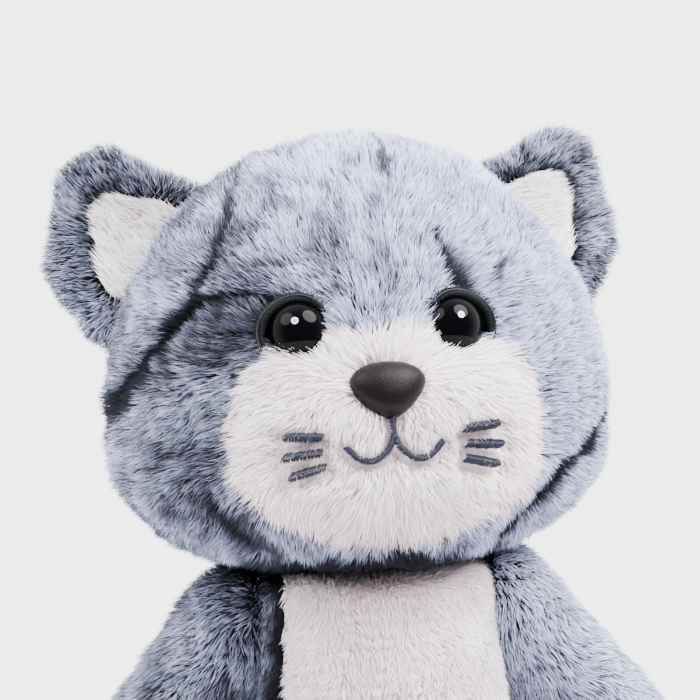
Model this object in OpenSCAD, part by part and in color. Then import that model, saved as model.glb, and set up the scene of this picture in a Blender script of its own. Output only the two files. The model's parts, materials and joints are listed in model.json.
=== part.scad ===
// Seated plush cat. It faces -Y, its own right side is -X, and it sits on z = 0.
// The origin is the middle of the flat seat under its torso. Every length is in millimetres.

/* [Head] */
// Half width of the head's fabric, without its pile
head_a = 71; // [66:1:74]
// Half depth of the head
head_b = 54; // [50:1:56]
// Half height of the head
head_c = 61; // [57:1:63]
// Height of the head's centre above the seat
head_z = 185; // [184:1:188]
// Half width of the muzzle
muzzle_a = 45; // [42:1:47]
// Radius of the muzzle
muzzle_r = 31; // [29:0.5:32]
// Height of an ear's tip above its root
ear_h = 45; // [41:1:48]

/* [Face] */
// Diameter of an eye's dome
eye_d = 16; // [14:0.5:17]
// Distance of each eye from the middle of the face
eye_x = 24; // [22:1:26]
// Width of the nose
nose_w = 22; // [20:1:24]

/* [Body] */
// Radius of the belly at its widest
belly_a = 45; // [43:1:46]
// Radius of the chest where it meets the neck
chest_a = 36; // [35:1:37]
// Height of the torso's top, where the neck comes out
torso_top = 121; // [118:1:122]
// Radius of an arm
arm_r = 15.5; // [13:0.5:16]
// Angle of an arm away from the vertical
arm_out = 38; // [34:1:42]
// Radius of a leg
leg_r = 22.5; // [21:0.5:23]
// Radius of a foot, seen from above
foot_r = 21; // [20:0.5:22]
// Radius of the tail
tail_r = 12; // [9:0.5:13]

/* [Sewing] */
// Thickness of the backing fabric
skin = 1.2; // [0.8:0.1:1.6]
// Gap between two bodies that turn against each other
joint_gap = 0.5; // [0.4:0.1:0.8]

/* [Hidden] */
$fn = 48;

FAR = 300;                           // past the whole toy in any direction
STUFFING_GAP = 0.2;                  // between a cover and what fills it
FILL = skin + STUFFING_GAP;
RIGHT = -1;
LEFT = 1;

HEAD = [0, 0, head_z];
MUZZLE = [0, -29, -27];              // the muzzle's centre, from the head's centre
SEAM_GAP = 0.05;                     // between the muzzle's fabric and the panels around it

// The neck is a packed ball that the head and the torso both turn on
NECK = [0, 0, 116];
NECK_R = 24;

EYE_Z = 8.5;
EYE_HEIGHT = 4.6;                    // how far an eye's dome stands out
EYE_TURN = 15;                       // an eye looks outwards by this
EYE_RISE = 7;                        // and upwards by this
STEM_R = 2;
STEM_LENGTH = 9;
WASHER_R = 7;
WASHER_T = 1.5;
FIT = 0.1;                           // radial clearance of a stem in fabric or washer

NOSE_Z = -11.6;
NOSE_RISE = 16;                      // the nose leans back with the muzzle by this
THREAD_R = 0.9;

BELLY_Z = 40;                        // height of the widest part of the belly
BELLY_C = 48;                        // and the half height that rounds it in to the seat

SHOULDER_X = 34.3;                   // plane of the arm's flat shoulder
SHOULDER = [38, 0, 108];             // the arm's root, which it swings about
ARM_LENGTH = 74;
HIP = [30, -14, 24];                 // a leg's root, just clear of the seat's plane
LEG_SPLAY = 6;
LEG_LENGTH = 78;
LEG_LIFT = 25;                       // how far a leg lifts
FOOT_C = 31;                         // half height of a foot
SOLE_DEPTH = 8;                      // how deep the sole pad wraps over the toes
TAIL = [0, 46, tail_r + 0.5];
TAIL_RUN = 34;
TAIL_END = 30;                       // length of the raised end of the tail
TAIL_RISE = 35;                      // and how steeply it rises
TAIL_TAPER = 1.5;                    // and how much thinner it is

// Height on an ellipsoid's front, as a y below its centre
function front(x, z, a, b, c) = b * sqrt(max(0, 1 - pow(x / a, 2) - pow(z / c, 2)));
// A point on the head's or the muzzle's front, from a place across and up from the head's centre
function on_head(x, z) = HEAD + [x, -front(x, z, head_a, head_b, head_c), z];
function on_muzzle(x, z) =
    HEAD + [x, MUZZLE.y - front(x, z - MUZZLE.z, muzzle_a, muzzle_r, muzzle_r), z];

module ovoid(a, b, c) scale([a, b, c]) sphere(r = 1);

// A round solid along Z with an elliptical outline: half length l, radius r
SPINDLE_STEPS = 24;
module spindle(l, r) {
    rotate_extrude() polygon([for (i = [0 : SPINDLE_STEPS]) let (a = 180 * i / SPINDLE_STEPS - 90)
        [r * cos(a), l * sin(a)]]);
}
module side(s) mirror([s < 0 ? 1 : 0, 0, 0]) children();
// A prism along Y from an outline across and up
module along_y(y0, y1) translate([0, y1, 0]) rotate([90, 0, 0]) linear_extrude(y1 - y0) children();

module ball_capsule(r, l) {
    sphere(r);
    cylinder(r = r, h = l);
    translate([0, 0, l]) sphere(r);
}

// ---- Head ----
module head_form(inset) {
    difference() {
        union() {
            skull(inset);
            muzzle_spindle(inset);
        }
        neck_socket(inset);
    }
}

module at_eye(s) {
    side(s) translate(on_head(eye_x, EYE_Z)) rotate([0, 0, EYE_TURN]) rotate([90 - EYE_RISE, 0, 0])
        children();
}

module at_nose() translate(on_muzzle(0, NOSE_Z)) rotate([90 - NOSE_RISE, 0, 0]) children();

module stem(spare) translate([0, 0, -STEM_LENGTH]) cylinder(r = STEM_R + spare, h = STEM_LENGTH + 1);

// Room for a stem and its washer behind the fabric
module fastening_room() {
    stem(FIT);
    translate([0, 0, -STEM_LENGTH - 1]) cylinder(r = WASHER_R + 0.5, h = STEM_LENGTH - 1.5);
}

module head_holes() {
    for (s = [RIGHT, LEFT]) at_eye(s) stem(FIT);
    at_nose() stem(FIT);
}

module skull(inset) translate(HEAD) ovoid(head_a - inset, head_b - inset, head_c - inset);
module muzzle_spindle(inset) {
    translate(HEAD + MUZZLE) rotate([0, 90, 0]) spindle(muzzle_a - inset, muzzle_r - inset);
}

module neck_socket(inset) translate(NECK) sphere(NECK_R + joint_gap + inset);

// The fabric over the skull, lining the neck's socket too
module head_shell() {
    difference() {
        skull(0);
        neck_socket(0);
        difference() {
            skull(skin);
            neck_socket(skin);
        }
        head_holes();
    }
}

// The seam runs from the outer top of the eye, out and down to the side of the head
CHEEK_SEAM = [[26, 15], [40, 17], [80, -22]];
CHIN_TOP = -38;
CHIN_SIDE = 33;

module cheek_outline() {
    polygon([[CHIN_SIDE, -80], [CHIN_SIDE, CHIN_TOP], [0, CHIN_TOP], [0, 0],
             CHEEK_SEAM[0], CHEEK_SEAM[1], CHEEK_SEAM[2], [90, -80]]);
}

module crown_outline() {
    polygon([[0, 0], CHEEK_SEAM[0], CHEEK_SEAM[1], CHEEK_SEAM[2], [90, 80], [0, 80]]);
}

module chin_outline() {
    polygon([[-CHIN_SIDE, -80], [CHIN_SIDE, -80], [CHIN_SIDE, CHIN_TOP], [-CHIN_SIDE, CHIN_TOP]]);
}

module front_of_head() translate(HEAD) along_y(-FAR / 2, 0) children();

module face_panel(s) {
    difference() {
        intersection() {
            head_shell();
            side(s) front_of_head() children();
        }
        muzzle_spindle(-SEAM_GAP);
    }
}

module crown_panel(s) color("silver") face_panel(s) crown_outline();
module cheek_panel(s) color("darkgray") face_panel(s) cheek_outline();

module chin_panel() {
    color("dimgray") difference() {
        intersection() {
            head_shell();
            front_of_head() chin_outline();
        }
        muzzle_spindle(-SEAM_GAP);
    }
}

module head_back_panel() {
    color("gray") intersection() {
        head_shell();
        translate([-FAR / 2, 0, 0]) cube([FAR, FAR, FAR]);
    }
}

module muzzle_panel() {
    color("linen") difference() {
        muzzle_spindle(0);
        muzzle_spindle(skin);
        skull(skin);
        neck_socket(0);
        head_holes();
    }
}

module head_stuffing() {
    color("white") difference() {
        head_form(FILL);
        for (s = [RIGHT, LEFT]) at_eye(s) fastening_room();
        at_nose() fastening_room();
    }
}

// ---- Ears ----
EAR_ROOT = [54, 20, 28];             // middle of an ear's root, from the head's centre
EAR_LEAN = 57;                       // an ear leans outwards by this
EAR_TURN = 14;                       // and its lining turns outwards by this
EAR_HALF = 27;
EAR_TIP_R = 12;
EAR_TIP_IN = 11;                     // the tip is nearer the top of the head than the root's middle
EAR_CORNER_R = 6;
EAR_ROOT_DEPTH = 8;                  // how far the outline runs into the head
EAR_T = 6;
EAR_RIM = 9;                         // width of the dark rim around the lining

module at_ear(s) {
    side(s) translate(HEAD + EAR_ROOT) rotate([0, 0, EAR_TURN]) rotate([0, EAR_LEAN, 0]) children();
}

module ear_outline(rim) {
    corner = max(1, EAR_CORNER_R - rim);
    hull() {
        translate([-EAR_TIP_IN, ear_h - EAR_TIP_R]) circle(EAR_TIP_R - rim);
        for (s = [RIGHT, LEFT]) for (v = [0, -EAR_ROOT_DEPTH])
            translate([s * (EAR_HALF - max(rim, EAR_CORNER_R)), v]) circle(corner);
    }
}

module ear_slab(rim, y0, t) rotate([90, 0, 0]) translate([0, 0, -y0]) linear_extrude(t) ear_outline(rim);

module off_head() {
    difference() {
        children();
        translate(HEAD) ovoid(head_a + 0.2, head_b + 0.2, head_c + 0.2);
    }
}

module ear_back(s) {
    color("dimgray") off_head() at_ear(s) difference() {
        ear_slab(0, EAR_T / 2, EAR_T);
        ear_slab(EAR_RIM, -EAR_T / 2 + 2, 3);
    }
}

module ear_lining(s) color("mistyrose") off_head() at_ear(s) ear_slab(EAR_RIM + 0.2, -EAR_T / 2 + 1.8, 1.8);

// ---- Eyes and nose ----
module dome(r, h) {
    ball = (r * r + h * h) / (2 * h);
    intersection() {
        translate([0, 0, h - ball]) sphere(ball);
        cylinder(r = r, h = h + 1);
    }
}

module eye(s) {
    color("black") at_eye(s) {
        dome(eye_d / 2, EYE_HEIGHT);
        stem(0);
    }
}

module washer() {
    difference() {
        cylinder(r = WASHER_R, h = WASHER_T);
        translate([0, 0, -1]) cylinder(r = STEM_R + FIT, h = WASHER_T + 2);
    }
}

WASHER_BACK = -STEM_LENGTH + 1;      // the washer's place along the stem
module eye_washer(s) color("whitesmoke") at_eye(s) translate([0, 0, WASHER_BACK]) washer();

LID_IN = eye_d / 2 + 0.4;
LID_WIDE = 2.8;
module eyelid(s) {
    color("darkslategray") at_eye(s) rotate([0, 0, -35]) rotate_extrude(angle = 170)
        translate([LID_IN, 0.1]) square([LID_WIDE, 2.2]);
}

// The nose lies on the pile without going through the fabric; only its stem does
module nose() {
    color([0.13, 0.1, 0.1]) {
        difference() {
            at_nose() hull() {
                for (s = [RIGHT, LEFT]) translate([s * (nose_w / 2 - 4.6), 3.4, 1]) ovoid(4.6, 4.4, 4.5);
                translate([0, -4.4, 1]) ovoid(4, 3.6, 4.5);
            }
            muzzle_spindle(-SEAM_GAP);
            skull(-SEAM_GAP);
        }
        at_nose() stem(0);
    }
}

module nose_washer() color("whitesmoke") at_nose() translate([0, 0, WASHER_BACK]) washer();

// ---- Stitching ----
// Raised satin stitches along points given across and up from the head's centre
module thread(points) {
    for (i = [0 : len(points) - 2]) hull() {
        for (p = [points[i], points[i + 1]])
            translate(on_muzzle(p.x, p.y) + [0, -THREAD_R - 0.4, 0]) sphere(THREAD_R, $fn = 10);
    }
}

SMILE = [[0, -27], [2.5, -30.6], [6, -31.6], [9.5, -30.6], [12.5, -27.6]];

module mouth_stitching() {
    color("midnightblue") {
        thread([[0, -21.5], [0, -26]]);
        for (s = [RIGHT, LEFT]) side(s) thread(SMILE);
    }
}

WHISKERS = [[[21, -23.5], [31, -23]], [[21, -28], [32, -29.5]], [[20, -32.5], [30, -35.5]]];
module whisker_stitching(s) {
    color("midnightblue") difference() {
        side(s) for (w = WHISKERS) thread(w);
        muzzle_spindle(-SEAM_GAP);
    }
}

// ---- Neck ----
module neck_sleeve() {
    color("dimgray") translate(NECK) difference() {
        sphere(NECK_R);
        sphere(NECK_R - skin);
    }
}

module neck_stuffing() color("white") translate(NECK) sphere(NECK_R - FILL);

// ---- Legs ----
module at_hip(s) side(s) translate(HIP) rotate([0, 0, LEG_SPLAY]) children();

module leg_tube(inset) rotate([90, 0, 0]) ball_capsule(leg_r - inset, LEG_LENGTH - 20);

module foot_spindle(inset) {
    translate([0, -LEG_LENGTH, FOOT_C - HIP.z]) spindle(FOOT_C - inset, foot_r - inset);
}

module leg_cover(s) {
    color("silver") at_hip(s) difference() {
        leg_tube(0);
        leg_tube(skin);
        foot_spindle(-SEAM_GAP);
    }
}

// Everything in front of the seam around a sole
module sole_region() {
    translate([-FAR / 2, -LEG_LENGTH - foot_r + SOLE_DEPTH - FAR, -FAR / 2]) cube([FAR, FAR, FAR]);
}

module foot_cover(s) {
    color("silver") at_hip(s) difference() {
        foot_spindle(0);
        foot_spindle(skin);
        leg_tube(skin);
        sole_region();
    }
}

module sole_pad(s) {
    color("mistyrose") at_hip(s) intersection() {
        difference() {
            foot_spindle(0);
            foot_spindle(skin);
        }
        sole_region();
    }
}

module leg_form(inset) {
    leg_tube(inset);
    foot_spindle(inset);
}

module leg_stuffing(s) color("white") at_hip(s) leg_form(FILL);

// ---- Torso ----
// The torso is round, widest at the belly, and narrows smoothly to the chest
function torso_r(z) = z < BELLY_Z
    ? belly_a * sqrt(1 - pow((BELLY_Z - z) / BELLY_C, 2))
    : chest_a + (belly_a - chest_a) * (1 + cos(180 * (z - BELLY_Z) / (torso_top - BELLY_Z))) / 2;

TORSO_STEPS = 16;
module torso_solid(inset) {
    high = torso_top - inset;
    rotate_extrude() polygon([[0, inset],
        for (i = [0 : TORSO_STEPS]) let (z = inset + i / TORSO_STEPS * (high - inset)) [torso_r(z) - inset, z],
        [0, high]]);
}

// Everywhere that a leg reaches as it lifts: an arc around the hip, then straight out in front
module leg_room(spare) {
    r = leg_r + joint_gap + spare;
    outline = [for (a = [-90 : 15 : 90 - LEG_LIFT]) r * [cos(a), sin(a)],
               r * [sin(LEG_LIFT), cos(LEG_LIFT)],
               r * [sin(LEG_LIFT), cos(LEG_LIFT)] + FAR * [-cos(LEG_LIFT), sin(LEG_LIFT)],
               [-FAR, -r]];
    for (s = [RIGHT, LEFT]) side(s) translate([HIP.x - r, HIP.y, HIP.z])
        rotate([90, 0, 90]) linear_extrude(FAR) polygon(outline);
}

module torso_form(inset) {
    difference() {
        torso_solid(inset);
        translate(NECK) sphere(NECK_R + joint_gap + inset);
        for (s = [RIGHT, LEFT]) side(s) translate([SHOULDER_X - joint_gap - inset, -FAR / 2, 70])
            cube([FAR, FAR, FAR]);
        leg_room(inset);
        translate(TAIL) sphere(tail_r + joint_gap + inset);
    }
}

module torso_shell() {
    difference() {
        torso_form(0);
        torso_form(skin);
    }
}

BIB = [[29, 130], [31, 100], [33, 75], [33, 45], [24, 20], [10, 6]];
SEAT_TOP = 4;                        // the seat panel ends at this height

module bib_region() {
    along_y(-FAR / 2, -8) polygon([for (p = BIB) p, for (i = [len(BIB) - 1 : -1 : 0]) [-BIB[i].x, BIB[i].y]]);
}

module above_seat() translate([-FAR / 2, -FAR / 2, SEAT_TOP]) cube([FAR, FAR, FAR]);

module bib_panel() {
    color("linen") intersection() {
        torso_shell();
        bib_region();
        above_seat();
    }
}

module torso_panel(s) {
    color("gray") difference() {
        torso_shell();
        bib_region();
        translate([-FAR / 2, -FAR / 2, SEAT_TOP - FAR]) cube([FAR, FAR, FAR]);
        translate([s > 0 ? -FAR : 0, -FAR / 2, 0]) cube([FAR, FAR, FAR]);
    }
}

module seat_panel() {
    color("dimgray") difference() {
        torso_shell();
        above_seat();
    }
}

PELLETS = [0, 22, 21];
module pellet_form(grow) translate(PELLETS) ovoid(22 + grow, 10.5 + grow, 15 + grow);
module pellet_bag() color("tan") pellet_form(0);

module torso_stuffing() {
    color("white") difference() {
        torso_form(FILL);
        pellet_form(0.2);
    }
}

// ---- Arms ----
module arm_form(inset) {
    intersection() {
        translate(SHOULDER) rotate([0, 180 - arm_out, 0]) ball_capsule(arm_r - inset, ARM_LENGTH);
        translate([SHOULDER_X + inset, -FAR / 2, -FAR / 2]) cube([FAR, FAR, FAR]);
    }
}

module arm_cover(s) {
    color("silver") side(s) difference() {
        arm_form(0);
        arm_form(skin);
    }
}

module arm_stuffing(s) color("white") side(s) arm_form(FILL);

// ---- Tail ----
module tail_form(inset) {
    translate(TAIL) rotate([-90, 0, 0]) ball_capsule(tail_r - inset, TAIL_RUN);
    translate(TAIL + [0, TAIL_RUN, 0]) rotate([TAIL_RISE - 90, 0, 0])
        ball_capsule(tail_r - TAIL_TAPER - inset, TAIL_END);
}

module tail_cover() {
    color("gray") difference() {
        tail_form(0);
        tail_form(skin);
    }
}

module tail_stuffing() color("white") tail_form(FILL);

crown_panel(RIGHT);  // crown_panel_right
crown_panel(LEFT);  // crown_panel_left
cheek_panel(RIGHT);  // cheek_panel_right
cheek_panel(LEFT);  // cheek_panel_left
chin_panel();
head_back_panel();
muzzle_panel();
head_stuffing();
ear_back(RIGHT);  // ear_back_right
ear_back(LEFT);  // ear_back_left
ear_lining(RIGHT);  // ear_lining_right
ear_lining(LEFT);  // ear_lining_left
eye(RIGHT);  // eye_right
eye(LEFT);  // eye_left
eye_washer(RIGHT);  // eye_washer_right
eye_washer(LEFT);  // eye_washer_left
eyelid(RIGHT);  // eyelid_right
eyelid(LEFT);  // eyelid_left
nose();
nose_washer();
mouth_stitching();
whisker_stitching(RIGHT);  // whisker_stitching_right
whisker_stitching(LEFT);  // whisker_stitching_left
neck_sleeve();
neck_stuffing();
bib_panel();
torso_panel(RIGHT);  // torso_panel_right
torso_panel(LEFT);  // torso_panel_left
seat_panel();
torso_stuffing();
pellet_bag();
arm_cover(RIGHT);  // arm_cover_right
arm_cover(LEFT);  // arm_cover_left
arm_stuffing(RIGHT);  // arm_stuffing_right
arm_stuffing(LEFT);  // arm_stuffing_left
leg_cover(RIGHT);  // leg_cover_right
leg_cover(LEFT);  // leg_cover_left
foot_cover(RIGHT);  // foot_cover_right
foot_cover(LEFT);  // foot_cover_left
sole_pad(RIGHT);  // sole_pad_right
sole_pad(LEFT);  // sole_pad_left
leg_stuffing(RIGHT);  // leg_stuffing_right
leg_stuffing(LEFT);  // leg_stuffing_left
tail_cover();
tail_stuffing();
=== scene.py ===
"""Looks of the seated plush cat: stuffed forms, pile, eyes, nose, stitching, camera and studio.

Lengths are in millimetres until a mesh is made, and the studio's are in metres. Right and left are
the cat's own sides, -X and +X.
"""
import json
import math

import bpy
import numpy as np
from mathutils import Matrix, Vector


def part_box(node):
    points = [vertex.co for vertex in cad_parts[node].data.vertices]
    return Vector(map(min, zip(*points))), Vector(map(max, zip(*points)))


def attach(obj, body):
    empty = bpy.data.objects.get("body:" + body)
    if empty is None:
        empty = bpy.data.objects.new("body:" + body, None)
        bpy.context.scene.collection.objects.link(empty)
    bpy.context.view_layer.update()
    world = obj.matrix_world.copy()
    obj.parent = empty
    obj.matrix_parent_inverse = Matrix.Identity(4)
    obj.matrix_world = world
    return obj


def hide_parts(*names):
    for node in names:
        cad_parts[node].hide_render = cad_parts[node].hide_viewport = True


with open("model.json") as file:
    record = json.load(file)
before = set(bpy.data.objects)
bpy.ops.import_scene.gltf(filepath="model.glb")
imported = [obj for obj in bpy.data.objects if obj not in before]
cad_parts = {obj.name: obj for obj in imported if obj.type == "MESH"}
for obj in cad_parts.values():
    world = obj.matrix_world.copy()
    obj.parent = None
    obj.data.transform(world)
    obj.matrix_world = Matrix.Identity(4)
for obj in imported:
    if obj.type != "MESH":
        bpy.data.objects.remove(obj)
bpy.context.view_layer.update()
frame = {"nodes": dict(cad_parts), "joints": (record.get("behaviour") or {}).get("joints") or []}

MM = 0.001
RIGHT, LEFT = -1, 1
SIDES = ((RIGHT, "right"), (LEFT, "left"))
DRAFT = 1.0  # share of the pile that is grown


def node_box(node):
    low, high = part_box(node)
    return np.array(low) / MM, np.array(high) / MM


def joint(name):
    return next(j for j in frame["joints"] if j["name"] == name)


# ---- Places taken from the frame ----
BACK_HIGH = node_box("head_back_panel")[1]
HEAD_A, HEAD_B = BACK_HIGH[0], BACK_HIGH[1]
HEAD_C = 61.0  # half of the skull's width, depth and height
HEAD = np.array([0.0, 0.0, BACK_HIGH[2] - HEAD_C])
NECK = np.array(joint("head_turn")["pos_m"]) / MM
TORSO_TOP = node_box("torso_panel_left")[1][2]
TAIL_ROOT = np.array(joint("tail_swing")["pos_m"]) / MM


def unit(v):
    v = np.asarray(v, float)
    return v / np.maximum(np.linalg.norm(v, axis=-1, keepdims=True), 1e-9)


def smooth(low, high, x):
    t = np.clip((x - low) / (high - low), 0, 1)
    return t * t * (3 - 2 * t)


# ---- Noise with a fixed seed ----
def lattice(cell, seed):
    i, j, k = (cell[:, n].astype(np.uint64) for n in range(3))
    h = i * np.uint64(73856093) ^ j * np.uint64(19349663) ^ k * np.uint64(83492791)
    h = (h + np.uint64(seed * 2654435761 % 2**32)) & np.uint64(0xFFFFFFFF)
    h = ((h ^ (h >> np.uint64(15))) * np.uint64(2246822519)) & np.uint64(0xFFFFFFFF)
    h = ((h ^ (h >> np.uint64(13))) * np.uint64(3266489917)) & np.uint64(0xFFFFFFFF)
    return ((h ^ (h >> np.uint64(16))) & np.uint64(0xFFFF)).astype(float) / 65535 * 2 - 1


def noise(points, size, seed):
    """Smooth value noise from -1 to 1, with features about size across."""
    p = np.asarray(points, float) / size + 4096.0
    base = np.floor(p).astype(np.int64)
    f = p - base
    f = f * f * (3 - 2 * f)
    total = np.zeros(len(p))
    for corner in range(8):
        step = np.array([corner & 1, corner >> 1 & 1, corner >> 2 & 1])
        weight = np.prod(np.where(step, f, 1 - f), axis=1)
        total += weight * lattice(base + step, seed)
    return total


# ---- Skins: smooth closed surfaces that the pile grows on ----
class Skin:
    def __init__(self, verts, quads, tris):
        self.verts, self.quads, self.tris = verts, quads, tris
        self.all_tris = np.concatenate([quads[:, [0, 1, 2]], quads[:, [0, 2, 3]], tris])
        a, b, c = (verts[self.all_tris[:, n]] for n in range(3))
        cross = np.cross(b - a, c - a)
        self.areas = np.linalg.norm(cross, axis=1) / 2
        normals = np.zeros_like(verts)
        for n in range(3):
            np.add.at(normals, self.all_tris[:, n], cross)
        self.normals = unit(normals)

    def scatter(self, per_mm2, rng, keep=None):
        """Random roots on the skin and the skin's normals there."""
        count = int(self.areas.sum() * per_mm2 * DRAFT)
        pick = rng.choice(len(self.areas), count, p=self.areas / self.areas.sum())
        u, v = rng.random(count), rng.random(count)
        flip = u + v > 1
        u[flip], v[flip] = 1 - u[flip], 1 - v[flip]
        weights = np.stack([1 - u - v, u, v], 1)[:, :, None]
        tri = self.all_tris[pick]
        roots = (self.verts[tri] * weights).sum(1)
        normals = unit((self.normals[tri] * weights).sum(1))
        if keep is not None:
            kept = keep(roots)
            roots, normals = roots[kept], normals[kept]
        return roots, normals


def ring_quads(index):
    """Quads between rings of points, whose numbers are index's rows."""
    after = np.roll(index, -1, axis=1)
    return np.stack([index[:-1], index[1:], after[1:], after[:-1]], -1).reshape(-1, 4)


def closed_rings(rings, around):
    """Quads and triangles of a closed surface: rings of points, then a point at each end."""
    index = np.arange(rings * around).reshape(rings, around)
    after = np.roll(index, -1, axis=1)
    first, last = np.full(around, index.size), np.full(around, index.size + 1)
    tris = np.concatenate([np.stack([first, index[0], after[0]], -1),
                           np.stack([last, after[-1], index[-1]], -1)])
    return ring_quads(index), tris


def sphere_skin(place, around, rows):
    """A closed skin from place(directions) -> points, on a grid of directions."""
    t = np.linspace(0, 2 * np.pi, around, endpoint=False)
    p = np.linspace(0, np.pi, rows + 1)[1:-1]
    pp, tt = np.meshgrid(p, t, indexing="ij")
    ring = np.stack([np.sin(pp) * np.cos(tt), np.sin(pp) * np.sin(tt), np.cos(pp)], -1).reshape(-1, 3)
    directions = np.concatenate([ring, [[0, 0, 1], [0, 0, -1]]])
    return Skin(place(directions), *closed_rings(rows - 1, around))


def ray_skin(centre, inside, far=150.0, **grid):
    """The skin where inside(points) crosses zero, along rays from centre."""
    def place(directions):
        low, high = np.zeros(len(directions)), np.full(len(directions), far)
        for _ in range(28):
            middle = (low + high) / 2
            within = inside(centre + directions * middle[:, None]) < 0
            low, high = np.where(within, middle, low), np.where(within, high, middle)
        return centre + directions * middle[:, None]
    return sphere_skin(place, **grid)


def blend_min(a, b, k):
    """A smooth union of two distances."""
    h = np.clip(0.5 + 0.5 * (b - a) / k, 0, 1)
    return b + (a - b) * h - k * h * (1 - h)


def ovoid_distance(p, centre, half):
    q = (p - centre) / half
    return (np.linalg.norm(q, axis=-1) - 1) * min(half)


def capsule_distance(p, a, b, ra, rb):
    a, b = np.asarray(a, float), np.asarray(b, float)
    t = np.clip(((p - a) @ (b - a)) / np.dot(b - a, b - a), 0, 1)
    return np.linalg.norm(p - a - t[:, None] * (b - a), axis=-1) - (ra + (rb - ra) * t)


# ---- Head ----
# The head is widest below its middle, over full cheeks
WIDEST = -19.0
CROWN_H, CHEEK_H = HEAD_C - WIDEST, HEAD_C + WIDEST + 1.0
MUZZLE = np.array([0.0, -29.0, -27.5])
MUZZLE_HALF = np.array([44.0, 27.5, 31.0])
MUZZLE_FULL = 2.6  # above 2, so fuller than an ovoid
EYE_OUT, EYE_SHIFT = 22.2, 1.2  # the pair of eyes sits a little to the cat's right
EYE_TIP = 0.5  # and the right eye higher than the left
EYE_SOCKET = np.array([EYE_OUT, -48.5, 6.0])
SOCKET_DEEP, SOCKET_HALF = 2.2, 9.0


def head_value(p):
    """Signed distance-like value of the skull; p is relative to the head's centre."""
    x, y, z = p[:, 0], p[:, 1], p[:, 2] - WIDEST
    above = z > 0
    n = np.where(above, 2.0, 2.45)
    tall = np.where(above, CROWN_H, CHEEK_H)
    flat = np.hypot(x / (HEAD_A + 0.8), y / (HEAD_B - 2.0))
    value = (flat**n + (np.abs(z) / tall)**n) ** (1 / n)
    return (value - 1) * 55


def head_distance(p):
    """The same with the muzzle, and with the hollows for the eyes and nose."""
    head = head_value(p)
    q = np.abs((p - MUZZLE) / MUZZLE_HALF)
    muzzle = ((q**MUZZLE_FULL).sum(-1) ** (1 / MUZZLE_FULL) - 1) * 29
    both = blend_min(head, muzzle, 2.5)
    for s, _ in SIDES:
        socket = np.linalg.norm(p - EYE_SOCKET * [s, 1, 1], axis=-1)
        both = both + SOCKET_DEEP * np.exp(-(socket / SOCKET_HALF) ** 2)
    nose = np.linalg.norm((p - [0, -59, -11]) / [13, 12, 10], axis=-1)
    return both + 1.2 * np.exp(-nose ** 2)


def near_line(x, z, points):
    """Distance from (x, z) to the line through points."""
    best = np.full(len(x), 1e9)
    for (ax, az), (bx, bz) in zip(points, points[1:]):
        dx, dz = bx - ax, bz - az
        t = np.clip(((x - ax) * dx + (z - az) * dz) / (dx * dx + dz * dz), 0, 1)
        best = np.minimum(best, np.hypot(x - ax - t * dx, z - az - t * dz))
    return best


# Dark marks on the face, where seams and creases part the pile: the dark roots that show there, with
# painted shade of the crease over them: line (across, up), half width, strength, depth
FACE_MARKS_AND_CREASE_SHADE = [
    ([(-31, 52), (-35, 41), (-41, 26), (-45, 17)], 1.0, 0.75, 1.8),
    ([(-30, 15), (-38, 15.5), (-46, 14), (-61, -1), (-75, -21), (-78, -30)], 1.9, 0.985, 2.6),
    ([(6, 62), (8.5, 44)], 1.0, 0.6, 0.6),
    ([(16.6, 30), (20.5, 14)], 0.8, 0.85, 0.8),
    ([(32, 16), (37, 20)], 1.1, 0.6, 0.4),
    ([(78, -17), (50, -36), (31, -51)], 1.7, 0.95, 2.6),
    ([(-46, -39), (-40, -44), (-30, -52)], 1.4, 0.6, 1.2),
]


# Stitched lines on the muzzle (across, up); they are the same on both sides
SMILE = [(0, -23.8), (1.8, -27.4), (5.6, -30.2), (9.8, -29.6), (13.4, -26.0)]
MOUTH_LINE = [(0.2, -19.0), (-0.1, -21.5), (0, -24.4)]
WHISKERS = [[(19, -23.2), (28.8, -22.6)], [(19.3, -27.2), (29.6, -28.2)], [(18.6, -31.0), (28, -33.4)]]
STITCH_LINES = [SMILE, MOUTH_LINE] + WHISKERS


def grooves(p):
    """How deep the seams and stitches pull the head's skin in."""
    away = np.min([near_line(np.abs(p[:, 0]), p[:, 2], line) for line in STITCH_LINES], axis=0)
    deep = 1.1 * np.exp(-(away / 3.4) ** 2)
    for points, half, _, depth in FACE_MARKS_AND_CREASE_SHADE:
        away = near_line(p[:, 0], p[:, 2], points)
        deep = np.maximum(deep, depth * np.exp(-(away / (half + 1.4)) ** 2))
    return deep * smooth(4, -12, p[:, 1])


head_skin = ray_skin(np.array([0, 0, -12.0]), lambda p: head_distance(p) + grooves(p), around=260, rows=190)


# ---- Torso, limbs and tail ----
def torso_radius(z):
    """The torso's own outline: round at the belly, smoothly narrower to the chest."""
    low = 45 * np.sqrt(np.clip(1 - ((40 - z) / 48) ** 2, 0.02, 1))
    high = 36 + 9 * (1 + np.cos(np.pi * np.clip((z - 40) / (TORSO_TOP - 40), 0, 1))) / 2
    return np.where(z < 40, low, high)


def torso_distance(p):
    z = p[:, 2]
    side = np.hypot(p[:, 0], p[:, 1] / 0.97) - torso_radius(z) + 0.6
    ends = np.maximum(z - TORSO_TOP + 1, 0.4 - z)
    body = -blend_min(-side, -ends, 6)
    shoulders = np.where(z > 66, np.abs(p[:, 0]) - 33.2, -9.0) - 6 * smooth(84, 66, z)
    body = -blend_min(-body, -shoulders, 4)
    for s, _ in SIDES:
        root = capsule_distance(p, HIP * [s, 1, 1], FOOT * [s, 1, 1], LEG_R + 1, LEG_R + 1)
        body = -blend_min(-body, root, 3)
    return body


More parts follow.
